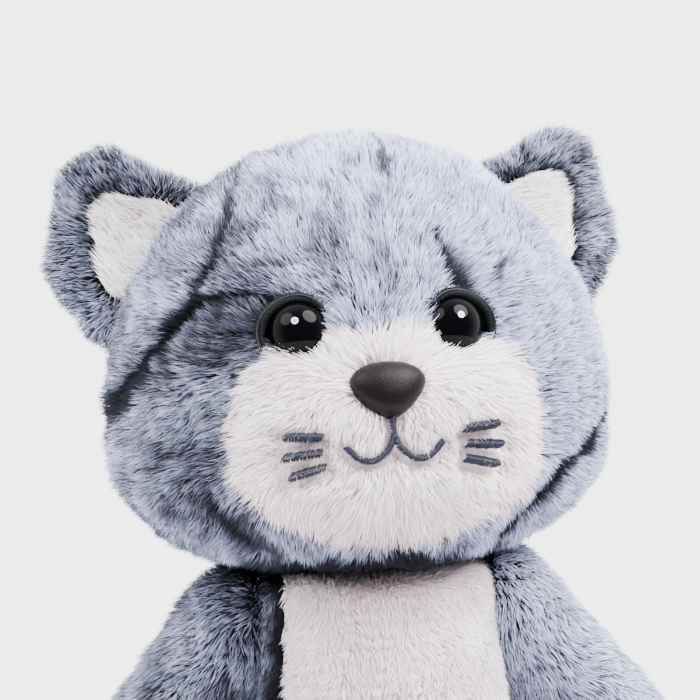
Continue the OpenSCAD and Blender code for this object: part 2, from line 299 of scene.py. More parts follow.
HIP = np.array(joint("leg_left_lift")["pos_m"]) / MM
FOOT_LOW, FOOT_HIGH = node_box("foot_cover_left")
FOOT = np.array([(FOOT_LOW[0] + FOOT_HIGH[0]) / 2, FOOT_HIGH[1] - 21, 24.0])
FOOT_HALF = np.array([20.0, 19.0, FOOT_HIGH[2] / 2 - 0.4])
LEG_R = 22.0
SHOULDER = np.array(joint("arm_left_swing")["pos_m"]) / MM
ARM_LOW, ARM_HIGH = node_box("arm_cover_left")
ARM_R = 15.0
PAW = np.array([ARM_HIGH[0] - ARM_R, 0, ARM_LOW[2] + ARM_R])


def leg_distance(p):
    tube = capsule_distance(p, HIP, FOOT, LEG_R, LEG_R - 1.5)
    foot = ovoid_distance(p, [FOOT[0], FOOT[1] + 1, FOOT_HALF[2] + 0.4], FOOT_HALF)
    floor = 0.4 - p[:, 2]
    return -blend_min(-blend_min(tube, foot, 8), -floor, 4)


def arm_distance(p):
    arm = capsule_distance(p, SHOULDER, PAW, ARM_R, ARM_R)
    return np.maximum(arm, ARM_LOW[0] - p[:, 0])


def tail_distance(p):
    knee = TAIL_ROOT + [0, 34, 0]
    end = knee + 30 * np.array([0, math.cos(math.radians(35)), math.sin(math.radians(35))])
    low = capsule_distance(p, TAIL_ROOT, knee, 11.6, 11.2)
    return blend_min(low, capsule_distance(p, knee, end, 11.0, 9.5), 5)


def mirrored(skin):
    """The same skin on the other side."""
    return Skin(skin.verts * [-1, 1, 1], skin.quads[:, ::-1], skin.tris[:, ::-1])


torso_skin = ray_skin(np.array([0, 2, 60.0]), torso_distance, around=160, rows=120)
leg_skin = {LEFT: ray_skin((HIP + FOOT) / 2, leg_distance, around=120, rows=90)}
arm_skin = {LEFT: ray_skin((SHOULDER + PAW) / 2 + [3, 0, 0], arm_distance, around=110, rows=90)}
leg_skin[RIGHT], arm_skin[RIGHT] = mirrored(leg_skin[LEFT]), mirrored(arm_skin[LEFT])
tail_skin = ray_skin(TAIL_ROOT + [0, 30, 3], tail_distance, around=96, rows=80)

# ---- Ears ----
EAR_ROOT = np.array([54, 20, 28.0])
EAR_LEAN, EAR_TURN = math.radians(57), math.radians(14)
# An ear's outline and its lining's are hulls of circles: across, up, radius
EAR_CIRCLES = np.array([[-19, -2, 6], [20, -3, 6.5], [18.5, 6, 8], [9, 18, 13], [-9.0, 25.5, 13.0]])
LINING_CIRCLES = np.array([[-16, -3, 5], [10, -3, 5], [5.5, 8.5, 8.5], [-7.0, 16.5, 8.5]])
EAR_HALF_THICK = 2.7


def ear_world(local):
    """From the left ear's own frame (across, backwards, up) to the head's frame."""
    u, w, v = local[:, 0], local[:, 1], local[:, 2]
    x = u * math.cos(EAR_LEAN) + v * math.sin(EAR_LEAN)
    z = -u * math.sin(EAR_LEAN) + v * math.cos(EAR_LEAN)
    turned = np.stack([x * math.cos(EAR_TURN) - w * math.sin(EAR_TURN),
                       x * math.sin(EAR_TURN) + w * math.cos(EAR_TURN), z], -1)
    return turned + EAR_ROOT


def ear_local(p):
    q = p - EAR_ROOT
    x = q[:, 0] * math.cos(EAR_TURN) + q[:, 1] * math.sin(EAR_TURN)
    w = -q[:, 0] * math.sin(EAR_TURN) + q[:, 1] * math.cos(EAR_TURN)
    u = x * math.cos(EAR_LEAN) - q[:, 2] * math.sin(EAR_LEAN)
    v = x * math.sin(EAR_LEAN) + q[:, 2] * math.cos(EAR_LEAN)
    return np.stack([u, w, v], -1)


def ear_outline(local, circles=EAR_CIRCLES):
    """Signed distance from the outline, seen from the ear's front."""
    flat = local[:, [0, 2]]
    best, radius = np.full(len(flat), 1e9), np.zeros(len(flat))
    inside = np.ones(len(flat), bool)
    for here, there in zip(circles, np.roll(circles, -1, axis=0)):
        a, step = here[:2], there[:2] - here[:2]
        t = np.clip(((flat - a) @ step) / (step @ step), 0, 1)
        away = np.linalg.norm(flat - a - t[:, None] * step, axis=-1)
        inside &= (flat[:, 1] - a[1]) * step[0] - (flat[:, 0] - a[0]) * step[1] > 0
        radius = np.where(away < best, here[2] + (there[2] - here[2]) * t, radius)
        best = np.minimum(away, best)
    return np.where(inside, -best, best) - radius


def ear_cup(local):
    """How far back the middle of an ear's thickness lies: the sides curl forwards."""
    return 2.0 - 6.0 * (local[:, 0] / 27) ** 2


def ear_distance(p):
    local = ear_local(p)
    beyond = np.maximum(ear_outline(local) + EAR_HALF_THICK, 0)
    return np.hypot(beyond, local[:, 1] - ear_cup(local)) - EAR_HALF_THICK


ear_middle = ear_world(np.array([[-3.0, 1.8, 14.0]]))[0]
ear_skin = {LEFT: ray_skin(ear_middle, ear_distance, around=130, rows=100)}
ear_skin[RIGHT] = mirrored(ear_skin[LEFT])


# ---- Meshes and materials ----
def new_mesh(name, verts, faces, material, normals=None, uv=None):
    """A mesh object from points in millimetres; faces is a list of arrays of equal-sided faces."""
    mesh = bpy.data.meshes.new(name)
    sizes = np.concatenate([np.full(len(f), f.shape[1]) for f in faces])
    loops = np.concatenate([f.ravel() for f in faces])
    mesh.vertices.add(len(verts))
    mesh.vertices.foreach_set("co", (verts * MM).ravel().astype(np.float32))
    mesh.loops.add(len(loops))
    mesh.loops.foreach_set("vertex_index", loops.astype(np.int32))
    mesh.polygons.add(len(sizes))
    mesh.polygons.foreach_set("loop_start", np.concatenate([[0], np.cumsum(sizes)[:-1]]).astype(np.int32))
    mesh.polygons.foreach_set("use_smooth", np.full(len(sizes), True))
    if uv is not None:
        layer = mesh.uv_layers.new(name="OFBake")
        layer.data.foreach_set("uv", uv[loops].ravel().astype(np.float32))
    mesh.update(calc_edges=True)
    mesh.validate()
    if normals is not None:
        mesh.normals_split_custom_set_from_vertices(normals.astype(np.float32))
    mesh.materials.append(material)
    piece = bpy.data.objects.new(name, mesh)
    bpy.context.scene.collection.objects.link(piece)
    return piece


def node_material(name):
    material = bpy.data.materials.new(name)
    material.use_nodes = True
    nodes = material.node_tree.nodes
    return material, nodes, material.node_tree.links, nodes["Principled BSDF"]


def ramp(nodes, stops, smooth_steps=False):
    node = nodes.new("ShaderNodeValToRGB")
    node.color_ramp.interpolation = "EASE" if smooth_steps else "LINEAR"
    elements = node.color_ramp.elements
    while len(elements) < len(stops):
        elements.new(0.5)
    for element, (place, colour) in zip(elements, stops):
        element.position = place
        element.color = (*colour, 1)
    return node


def pile_material(name, tips, roots, bare, full, sheen, specular):
    """Pile whose colour follows its own map: tone across, and from root to tip up; the darker roots are
    partly the yarn's own and partly painted shade between the strands.
    """
    material, nodes, links, shader = node_material(name)
    place = nodes.new("ShaderNodeUVMap")
    place.uv_map = "OFBake"
    split = nodes.new("ShaderNodeSeparateXYZ")
    tip, root = ramp(nodes, tips), ramp(nodes, roots)
    # Towards the roots the tip colour gives way to the root colour, which holds painted shade between the
    # strands
    share = ramp(nodes, [(bare, (0, 0, 0)), (full, (1, 1, 1))], smooth_steps=True)
    mix = nodes.new("ShaderNodeMix")
    mix.data_type = "RGBA"
    links.new(place.outputs["UV"], split.inputs[0])
    links.new(split.outputs["X"], tip.inputs[0])
    links.new(split.outputs["X"], root.inputs[0])
    links.new(split.outputs["Y"], share.inputs[0])
    links.new(share.outputs["Color"], mix.inputs["Factor"])
    links.new(root.outputs["Color"], mix.inputs["A"])
    links.new(tip.outputs["Color"], mix.inputs["B"])
    links.new(mix.outputs["Result"], shader.inputs["Base Color"])
    shader.inputs["Roughness"].default_value = 0.75
    shader.inputs["Specular IOR Level"].default_value = specular
    shader.inputs["Sheen Weight"].default_value = sheen
    shader.inputs["Sheen Roughness"].default_value = 0.45
    return material


# Dark roots: the frosted yarn's own, deepened as painted shade between the tufts
FROSTED = pile_material(
    "frosted_pile",
    [(0.0, (0.006, 0.006, 0.009)), (0.2, (0.016, 0.017, 0.024)), (0.4, (0.095, 0.10, 0.15)),
     (0.6, (0.28, 0.30, 0.42)), (0.8, (0.46, 0.50, 0.76)), (1.0, (0.68, 0.72, 0.97))],
    [(0.0, (0.004, 0.004, 0.006)), (0.5, (0.015, 0.015, 0.02)), (0.8, (0.09, 0.095, 0.14)),
     (1.0, (0.32, 0.34, 0.45))],
    bare=0.25, full=0.9, sheen=0.0, specular=0.08)
CREAM = pile_material(
    "cream_pile",
    [(0.0, (0.62, 0.46, 0.46)), (0.5, (0.96, 0.79, 0.84)), (1.0, (1.0, 0.90, 0.97))],
    [(0.0, (0.74, 0.55, 0.55)), (1.0, (0.99, 0.83, 0.87))],
    bare=0.0, full=0.45, sheen=0.15, specular=0.1)
PINK = pile_material(
    "pink_pile",
    [(0.0, (0.66, 0.52, 0.50)), (0.5, (0.94, 0.86, 0.87)), (1.0, (1.0, 0.95, 0.97))],
    [(0.0, (0.74, 0.58, 0.58)), (1.0, (0.97, 0.83, 0.86))],
    bare=0.0, full=0.5, sheen=0.15, specular=0.1)


# ---- Pile ----
SIDES_OF_STRAND = 3


def along_skin(direction, normals):
    return unit(direction - (direction * normals).sum(1, keepdims=True) * normals)


def pile(name, roots, normals, comb, tone, length, lean, material, seed,
         width=0.26, swirl=0.62, tuft=3.4, gather=0.6, floor=None):
    """Closed tapered strands with one bend, gathered into tufts. lean is in radians from upright."""
    rng = np.random.default_rng(seed)
    n = len(roots)
    comb = along_skin(comb, normals)
    angle = swirl * (noise(roots, 13, 301) + 0.8 * noise(roots, 5.5, 302)) + rng.normal(0, 0.16, n)
    across = np.cross(normals, comb)
    comb = comb * np.cos(angle)[:, None] + across * np.sin(angle)[:, None]
    uneven = rng.normal(0, 0.15, n) + 0.2 * noise(roots, 6, 303) + 0.15 * noise(roots, 3, 304)
    reach = np.broadcast_to(length, n) * np.clip(1 + uneven, 0.5, 1.5)
    tilt = np.clip(lean + 0.22 * noise(roots, 7, 305) + rng.normal(0, 0.12, n), 0.05, 1.4)

    def towards(angle):
        return normals * np.cos(angle)[:, None] + comb * np.sin(angle)[:, None]

    middle = roots + towards(tilt * 0.6) * reach[:, None] * 0.5
    tip = middle + towards(np.minimum(tilt * 1.3, 1.5)) * reach[:, None] * 0.5
    cells = np.floor((roots + rng.normal(0, 0.12 * tuft, (n, 3))) / tuft).astype(np.int64)
    _, tuft_of, members = np.unique(cells, axis=0, return_inverse=True, return_counts=True)
    tuft_of = tuft_of.ravel()
    centre = np.stack([np.bincount(tuft_of, tip[:, k]) / members for k in range(3)], 1)[tuft_of]
    pull = (gather * rng.random(n) * (members[tuft_of] > 2))[:, None]
    tip = tip + (centre - tip) * pull
    middle = middle + (centre - middle) * pull * 0.25
    if floor is not None:
        middle[:, 2] = np.maximum(middle[:, 2], floor)
        tip[:, 2] = np.maximum(tip[:, 2], floor)

    base = roots - normals * 0.4
    along = unit(tip - roots)
    one = unit(np.cross(along, normals) + 1e-4 * comb)
    two = np.cross(along, one)
    half = (width / 2) * rng.uniform(0.75, 1.25, n)[:, None]
    rings, radial = [], []
    for centre_line, share in ((base, 1.0), (middle, 0.85)):
        for k in range(SIDES_OF_STRAND):
            turn = 2 * math.pi * k / SIDES_OF_STRAND + math.pi / 2
            out = one * math.cos(turn) + two * math.sin(turn)
            rings.append(centre_line + out * half * share)
            radial.append(out)
    verts = np.stack(rings + [tip], 1)
    tint = 0.22 * rng.normal(0, 1, (n, 3))
    shade = np.stack([unit(normals * 0.75 + out * 0.3 + tint) for out in radial]
                     + [unit(normals * 0.75 + along * 0.1 + tint)], 1)
    u = np.clip(np.broadcast_to(tone, n), 0.01, 0.985)
    spread = np.array([0, 0.002, 0.004, 0, 0.002, 0.004, 0.002])
    up = np.array([0.02, 0.02, 0.02, 0.5, 0.5, 0.5, 0.98])
    uv = np.stack([u[:, None] + spread, np.broadcast_to(up, (n, 7))], -1)
    first = (np.arange(n) * 7)[:, None]
    cap = first + np.array([[0, 2, 1]])
    walls = (first[:, None, :] + np.array([[0, 1, 4, 3], [1, 2, 5, 4], [2, 0, 3, 5]])).reshape(-1, 4)
    ends = (first[:, None, :] + np.array([[3, 4, 6], [4, 5, 6], [5, 3, 6]])).reshape(-1, 3)
    return new_mesh(name, verts.reshape(-1, 3), [walls, cap, ends], material,
                    shade.reshape(-1, 3), uv.reshape(-1, 2))


def fabric(name, skin, material, tone, offset=np.zeros(3)):
    """The closed backing that a pile stands on, in the pile's own root colour."""
    uv = np.full((len(skin.verts), 2), (tone, 0.02))
    uv[:, 0] += 0.002 * (np.arange(len(uv)) % 3)
    return new_mesh(name, skin.verts + offset, [skin.quads, skin.tris], material, uv=uv)


# ---- Markings and comb of the head ----
# Wider soft patches of dark pile, and the painted shadow under the chin (the patch low in the middle):
# middle (across, up), half sizes, strength
FACE_PATCHES_AND_CHIN_SHADOW = [
    ((-40, 4), (16, 10), 0.5),
    ((-35, 12), (10, 6), 0.6),
    ((0, -61), (48, 9.2), 0.985),
    ((-12, 24), (5, 13), 0.3),
    ((2, 26), (3, 16), 0.3),
    ((-52, -34), (14, 12), 0.2),
]


def mixed(count, rng):
    """Single strands differ: some are much darker than the rest, as in heather plush."""
    return rng.normal(0, 0.11, count) - 0.26 * (rng.random(count) < 0.24)


def head_tone(p, rng):
    """How light each strand of the head is, from 0 to 1: the coat, darker on the cat's right partly as
    painted shade, then its marks, the painted shade of its creases and the painted shadow under the chin.
    """
    x, y, z = p.T
    wob = p + 2.2 * np.stack([noise(p, 6, 5), noise(p, 6, 6), noise(p, 6, 7)], 1)
    front = smooth(8, -12, y)
    # Darker on the cat's right: partly the coat's mottling, partly painted shade on the side away from the
    # key light
    base = 0.83 - 0.2 * smooth(-4, -38, x) - 0.04 * smooth(0, -40, z)
    base = base * front + (0.60 + 0.06 * np.sin(z / 7 + 1.5 * noise(p, 18, 8))) * (1 - front)
    uneven = 0.6 + 0.9 * smooth(30, -30, x)
    streaks = noise(p, 8, 11) + 0.8 * noise(p, 3.6, 12) + 0.5 * noise(p, 1.7, 13)
    tone = base + 0.15 * uneven * streaks + mixed(len(p), rng)
    dark = np.zeros(len(p))
    # Along the seams and creases the strands darken: partly painted shade of the crease
    for points, half, strength, _ in FACE_MARKS_AND_CREASE_SHADE:
        away = near_line(wob[:, 0], wob[:, 2], points)
        dark = np.maximum(dark, strength * front * smooth(half + 2.2, half - 0.6, away))
    for middle, half, strength in FACE_PATCHES_AND_CHIN_SHADOW:
        away = np.hypot((wob[:, 0] - middle[0]) / half[0], (wob[:, 2] - middle[1]) / half[1])
        # The low patch is the painted shadow under the chin, so it is even; the others are mottled
        cover = strength if middle[1] < -50 else strength * (0.85 + 0.5 * noise(p, 3.2, 15))
        dark = np.maximum(dark, cover * front * smooth(1.2, 0.7, away))
    stripes = smooth(0.35, 0.8, np.sin(x / 6.5 + 1.2 * noise(p, 22, 14))) * smooth(-20, 10, z)
    dark = np.maximum(dark, 0.6 * stripes * (1 - front))
    return np.clip(tone * (1 - dark) + 0.02, 0, 1)


def muzzle_share(p):
    """Positive inside the muzzle's seam, in about millimetres: boxier above than below."""
    across, up = np.abs(p[:, 0]) / 41.5, p[:, 2] + 27.5
    n, up = np.where(up > 0, 3.0, 2.0), np.where(up > 0, up / 31, up / 23.8)
    inside = (1 - (across**n + np.abs(up)**n) ** (1 / n)) * 32
    return np.where(p[:, 1] < -14, inside + 1.2 * noise(p, 4, 33), -20)


def seam_height(x):
    """Height of the seam between crown and cheek."""
    across = np.abs(x)
    return np.interp(across, [26, 40, 80], [15, 17, -22])


def head_panel(p):
    """Which panel each point belongs to."""
    x, y, z = p.T
    names = np.where(z > seam_height(x), "crown_panel_", "cheek_panel_").astype("U24")
    names = np.char.add(names, np.where(x < 0, "right", "left"))
    names[(np.abs(x) < 33) & (z < -38)] = "chin_panel"
    names[y > 0] = "head_back_panel"
    names[muzzle_share(p) > 0] = "muzzle_panel"
    return names


# ---- Declaring pieces ----
def declare(piece, body, replaced=()):
    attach(piece, body)
    if replaced:
        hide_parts(*replaced)
    return piece


def paint_faces(piece, material, middles_kept):
    """Gives a second material to the faces whose middles are kept."""
    mesh = piece.data
    mesh.materials.append(material)
    middles = np.empty(len(mesh.polygons) * 3, np.float32)
    mesh.polygons.foreach_get("center", middles)
    kept = middles_kept(middles.reshape(-1, 3) / MM)
    mesh.polygons.foreach_set("material_index", kept.astype(np.int32))


# ---- The head's pile ----
# The pile is combed away from a point: the muzzle's from the nose, the rest from the brow
MUZZLE_PARTING = np.array([0, -59, -10.0])
BROW = np.array([0, -56, -6.0])
GREY_LENGTH, GREY_LEAN = 5.6, 0.85
FINE = 0.24  # width of a strand of the cream and pink pile
BACKING_TONE = 0.35  # of the backing under grey pile


def head_comb(p):
    from_brow = unit(p - BROW)
    low = smooth(20, 60, np.abs(p[:, 2])) * (p[:, 2] < 0)
    return from_brow + np.array([0, -0.1, -0.35]) * low[:, None]


MOST_STRANDS = 19500  # in one piece


def grow(body, node, slot, skin, place, keep, per_mm2, comb, tone, length, lean, material, seed, **more):
    """Pile on the kept part of a skin whose origin lies at place, in pieces of a moderate size."""
    rng = np.random.default_rng(seed)
    roots, normals = skin.scatter(per_mm2, rng, keep)
    ways, tones = comb(roots), tone(roots, rng)
    reach = length(roots) if callable(length) else np.full(len(roots), length)
    parts = 1 + len(roots) // MOST_STRANDS
    for part in range(parts):
        own = slice(part, None, parts)
        name = f"pile_{node}.{part + 1}" if parts > 1 else "pile_" + node
        piece = pile(name, roots[own] + place, normals[own], ways[own], tones[own], reach[own],
                     lean, material, seed, **more)
        declare(piece, body, [node])


HEAD_PILES = (
    ("crown_panel_right", 4.6), ("crown_panel_left", 4.6), ("cheek_panel_right", 4.6),
    ("cheek_panel_left", 4.6), ("chin_panel", 4.6), ("head_back_panel", 1.6),
)


CLEAR_BELOW, CLEAR_ABOVE = 7.2, 8.4  # the pile below an eye covers the dome's edge


def clear_of_eyes(p):
    """Away from the eyes' domes."""
    near = np.min([np.hypot(p[:, 0] - s * EYE_OUT + EYE_SHIFT, p[:, 2] - 5.9 + EYE_TIP * s)
                   for s, _ in SIDES], axis=0)
    return (near > np.where(p[:, 2] < 3, CLEAR_BELOW, CLEAR_ABOVE)) | (p[:, 1] > -20)


for number, (panel, density) in enumerate(HEAD_PILES):
    grow("head", panel, "plush_grey", head_skin, HEAD,
         lambda p: (head_panel(p) == panel) & clear_of_eyes(p), density, head_comb, head_tone,
         GREY_LENGTH, GREY_LEAN, FROSTED, 20 + number)


def muzzle_comb(p):
    return unit(p - MUZZLE_PARTING) + np.array([0, 0, -0.25])


def muzzle_tone(p, rng):
    """Cream, with painted shade on the strands low down, and greyer strands beside the seam."""
    # Painted shade on the lower muzzle
    lower = smooth(-30, -55, p[:, 2])
    edge = smooth(4, 0, muzzle_share(p))
    soft = 0.16 * noise(p, 9, 30) + 0.14 * noise(p, 4, 31) + rng.normal(0, 0.08, len(p))
    return np.clip(0.92 - 0.36 * lower - 0.25 * edge + soft, 0, 1)


def muzzle_keep(p):
    nose = np.hypot(p[:, 0] / 9.5, (p[:, 2] + 10.5) / 6.5) < 1
    return (head_panel(p) == "muzzle_panel") & ~(nose & (p[:, 1] < -40)) & clear_of_eyes(p)


def muzzle_reach(p):
    """The stitches hold the pile down, so it is shorter beside them."""
    away = np.min([near_line(np.abs(p[:, 0]), p[:, 2], line) for line in STITCH_LINES], axis=0)
    return 1.2 + (4.4 + 1.3 * smooth(-9, 0, p[:, 2])) * smooth(0.9, 5.0, away)


grow("head", "muzzle_panel", "plush_cream", head_skin, HEAD,
     muzzle_keep, 5.0, muzzle_comb, muzzle_tone, muzzle_reach, 0.95, CREAM, 40,
     width=FINE, gather=0.5)

head_form = fabric("head_form", head_skin, FROSTED, BACKING_TONE, HEAD)
paint_faces(head_form, CREAM, lambda p: muzzle_share(p - HEAD) > 0)
declare(head_form, "head", ["head_stuffing"])


# ---- Ears ----
for s, side in SIDES:
    flip = np.array([s, 1, 1])

    def ear_front(p):
        local = ear_local(p * flip)
        return local[:, 1] < ear_cup(local)

    def lining_part(p):
        return ear_front(p) & (ear_outline(ear_local(p * flip), LINING_CIRCLES) < 1.2 * noise(p, 5, 51))

    def out_of_head(p):
        return head_value(p) > -2.5

    def ear_comb(p):
        local = ear_local(p * flip)
        outward = np.stack([local[:, 0] + 6, np.zeros(len(p)), local[:, 2] - 10], -1) / 30 + [0, 0, 0.35]
        return (ear_world(outward) - EAR_ROOT) * flip

    def ear_tone(p, rng):
        local = ear_local(p * flip)
        outline = ear_outline(local)
        # Darker beside the lining on the front: partly the rim's dark pile, partly painted shade in the
        # ear's cup
        beside = smooth(5, 0, ear_outline(local, LINING_CIRCLES)) * ear_front(p)
        frost = 0.60 + 0.10 * smooth(-6, 0, outline) - 0.28 * beside
        rough = noise(p, 7, 52) + 0.7 * noise(p, 3.2, 53) + 0.5 * noise(p, 1.6, 55)
        return np.clip(frost + 0.18 * rough + mixed(len(p), rng), 0, 1)

    def lining_comb(p):
        local = ear_local(p * flip)
        inward = np.stack([-local[:, 0] * 0.3, np.zeros(len(p)), np.ones(len(p)) * 8], -1)
        return (ear_world(inward) - EAR_ROOT) * flip

    def lining_tone(p, rng):
        return np.clip(0.82 + 0.15 * noise(p, 6, 54) + rng.normal(0, 0.08, len(p)), 0, 1)

    grow("head", "ear_back_" + side, "plush_dark", ear_skin[s], HEAD,
         lambda p: out_of_head(p) & ~lining_part(p), 4.0, ear_comb, ear_tone, 5.4, 0.8,
         FROSTED, 50 + s)
    grow("head", "ear_lining_" + side, "plush_pink", ear_skin[s], HEAD,
         lambda p: out_of_head(p) & lining_part(p), 5.0, lining_comb, lining_tone, 5.2, 0.9,
         PINK, 60 + s, width=FINE)
    ear_form = fabric("ear_form_" + side, ear_skin[s], FROSTED, 0.2, HEAD)
    paint_faces(ear_form, PINK, lambda p: lining_part(p - HEAD))
    declare(ear_form, "head", ())


# ---- The neck, torso and limbs ----
ON_FLOOR = 0.4  # no strand goes lower than this


def coat_tone(p, rng):
    """Heather grey, lighter and evener on the cat's left: partly the coat's own, partly painted shade on
    its right, the side away from the key light.
    """
    light = smooth(-30, 22, p[:, 0])
    rough = noise(p, 9, 71) + 0.7 * noise(p, 3.8, 72) + 0.5 * noise(p, 1.7, 74)
    # Lighter towards the cat's left: partly painted shade on the side away from the key light
    tone = 0.65 + 0.32 * light + (0.2 - 0.1 * light) * rough + mixed(len(p), rng)
    swirl = smooth(0.1, 0.75, noise(p * [1, 1, 0.6], 11, 73)) * (1 - 0.7 * light)
    return np.clip(tone * (1 - 0.45 * swirl), 0, 1)


def steady(direction):
    return lambda p: np.broadcast_to(np.array(direction, float), (len(p), 3))


neck_skin = ray_skin(NECK, lambda p: np.linalg.norm(p - NECK, axis=-1) - 22.6, around=72, rows=48)
grow("neck", "neck_sleeve", "plush_dark", neck_skin, 0,
     lambda p: np.abs(p[:, 2] - NECK[2]) < 18, 0.7, steady([0, 0, -1]),
     lambda p, rng: np.full(len(p), 0.15), 2.4, 1.2, FROSTED, 80)
declare(fabric("neck_form", neck_skin, FROSTED, 0.2), "neck", ["neck_stuffing"])

SEAT_UP = 3.5  # the seat panel's edge, over the floor
# Half the bib's width, at heights over the floor
BIB = [(29, 130), (31, 100), (33, 75), (33, 45), (24, 20), (10, 6)]


def bib_half(z):
    heights = [z_ for _, z_ in BIB][::-1]
    return np.interp(z, heights, [x for x, _ in BIB][::-1])


BIB_SHIFT = 2.5  # the bib is sewn a little to the cat's left


def in_bib(p):
    return (p[:, 1] < -5) & (np.abs(p[:, 0] - BIB_SHIFT) < bib_half(p[:, 2])) & (p[:, 2] > 6)


def torso_tone(p, rng):
    """The coat, dark along the bib's seam."""
    edge = np.abs(p[:, 0] - BIB_SHIFT) - bib_half(p[:, 2])
    seam = smooth(4.5, 1.0, edge + 1.5 * noise(p, 5, 75)) * (p[:, 1] < 0)
    return np.clip(coat_tone(p, rng) + 0.14, 0, 1) * (1 - 0.8 * seam)


def torso_comb(p):
    return np.stack([p[:, 0] * 0.01, p[:, 1] * 0.01, -np.ones(len(p))], -1)


def bib_tone(p, rng):
    uneven = 0.84 + 0.16 * noise(p, 8, 76) + 0.12 * noise(p, 3, 77)
    return np.clip(uneven + rng.normal(0, 0.07, len(p)), 0, 1)


grow("torso", "bib_panel", "plush_cream", torso_skin, 0,
     in_bib, 4.5, torso_comb, bib_tone, 3.6, 0.8, CREAM, 81, width=FINE, swirl=0.8, floor=ON_FLOOR)
for s, side in SIDES:
    grow("torso", "torso_panel_" + side, "plush_grey", torso_skin, 0,
         lambda p: ~in_bib(p) & (p[:, 0] * s > 0) & (p[:, 2] > SEAT_UP), 2.1, torso_comb,
         torso_tone, GREY_LENGTH, GREY_LEAN, FROSTED, 82 + s, floor=ON_FLOOR)
grow("torso", "seat_panel", "plush_grey", torso_skin, 0,
     lambda p: p[:, 2] <= SEAT_UP, 0.8, lambda p: p * [1, 1, 0] + [0, 0.01, 0], coat_tone,
     3.0, 1.3, FROSTED, 85, floor=0.3)
torso_form_piece = fabric("torso_form", torso_skin, FROSTED, BACKING_TONE)
paint_faces(torso_form_piece, CREAM, in_bib)
declare(torso_form_piece, "torso", ["torso_stuffing"])

for s, side in SIDES:
    flip = np.array([s, 1, 1])
    arm_way = unit(PAW - SHOULDER) * flip
    grow("arm_" + side, "arm_cover_" + side, "plush_grey", arm_skin[s], 0,
         lambda p: np.abs(p[:, 0]) > ARM_LOW[0] + 0.4, 3.2, steady(arm_way), coat_tone,
         GREY_LENGTH, GREY_LEAN, FROSTED, 90 + s)
    declare(fabric("arm_form_" + side, arm_skin[s], FROSTED, BACKING_TONE), "arm_" + side,
            ["arm_stuffing_" + side])

    leg_way = unit(FOOT - HIP) * flip * [1, 1, 0]
    sole_y = FOOT[1] - 12

    def on_foot(p):
        return p[:, 1] < FOOT[1] + 13

    def on_sole(p):
        return p[:, 1] < sole_y

    grow("leg_" + side, "leg_cover_" + side, "plush_grey", leg_skin[s], 0,
         lambda p: ~on_foot(p), 1.8, steady(leg_way), coat_tone, GREY_LENGTH, GREY_LEAN,
         FROSTED, 94 + s, floor=ON_FLOOR)
    grow("leg_" + side, "foot_cover_" + side, "plush_grey", leg_skin[s], 0,
         lambda p: on_foot(p) & ~on_sole(p), 2.2, steady(leg_way + np.array([0, 0, 0.15])),
         coat_tone, 5.0, GREY_LEAN, FROSTED, 98 + s, floor=ON_FLOOR)
    grow("leg_" + side, "sole_pad_" + side, "plush_pink", leg_skin[s], 0,
         on_sole, 3.6, steady([0, 0, 1]), bib_tone, 3.0, 0.7, PINK, 102 + s,
         width=FINE, floor=ON_FLOOR)
    leg_form_piece = fabric("leg_form_" + side, leg_skin[s], FROSTED, BACKING_TONE)
    paint_faces(leg_form_piece, PINK, on_sole)
    declare(leg_form_piece, "leg_" + side, ["leg_stuffing_" + side])

grow("tail", "tail_cover", "plush_grey", tail_skin, 0,
     lambda p: p[:, 1] > TAIL_ROOT[1] - 6, 2.2, steady([0, 1, 0.2]), coat_tone,
     GREY_LENGTH, 0.8, FROSTED, 110, floor=ON_FLOOR)
declare(fabric("tail_form", tail_skin, FROSTED, BACKING_TONE), "tail", ["tail_stuffing"])


# ---- Plain materials ----
def plain(name, colour, rough, **sockets):
    """A material of one colour; sockets are other values of its shader."""
    material, nodes, links, shader = node_material(name)
    shader.inputs["Base Color"].default_value = (*colour, 1)
    shader.inputs["Roughness"].default_value = rough
    for socket, value in sockets.items():
        shader.inputs[socket.replace("_", " ")].default_value = value
    return material


def add_grain(material, scale, depth, strength):
    """Fine bumps over a material."""
    nodes, links = material.node_tree.nodes, material.node_tree.links
    grain, bump = nodes.new("ShaderNodeTexNoise"), nodes.new("ShaderNodeBump")
    place = nodes.new("ShaderNodeTexCoord")
    links.new(place.outputs["Object"], grain.inputs["Vector"])
    grain.inputs["Scale"].default_value = scale
    grain.inputs["Detail"].default_value = 4
    bump.inputs["Distance"].default_value = depth * MM
    bump.inputs["Strength"].default_value = strength
    links.new(grain.outputs["Fac"], bump.inputs["Height"])
    links.new(bump.outputs["Normal"], nodes["Principled BSDF"].inputs["Normal"])
    return material


EYE_BLACK = plain("eye_plastic", (0.001, 0.001, 0.0015), 0.04, Specular_IOR_Level=0.05)
# Painted highlight on the eyes: a round lamp's reflection, white around a grey middle
PAINTED_HIGHLIGHT_WHITE = plain("eye_painted_highlight_white", (0.62, 0.66, 0.80), 0.15)
PAINTED_HIGHLIGHT_GREY = plain("eye_painted_highlight_grey", (0.25, 0.27, 0.33), 0.15)
NOSE_BROWN = add_grain(plain("nose_plastic", (0.005, 0.0027, 0.0032), 0.34, Specular_IOR_Level=0.09),
                       scale=2400, depth=0.2, strength=0.7)
LID_CLOTH = add_grain(plain("eyelid_cloth", (0.004, 0.0045, 0.006), 0.6, Specular_IOR_Level=0.12),
                      scale=3500, depth=0.2, strength=0.6)
PIPING = plain("eyelid_piping", (0.013, 0.014, 0.018), 0.5, Specular_IOR_Level=0.2)
LASH_THREAD = plain("lash_thread", (0.003, 0.003, 0.004), 0.5, Specular_IOR_Level=0.15)
BLUE_THREAD = plain("thread_blue", (0.003, 0.0055, 0.018), 0.36, Specular_IOR_Level=0.3)
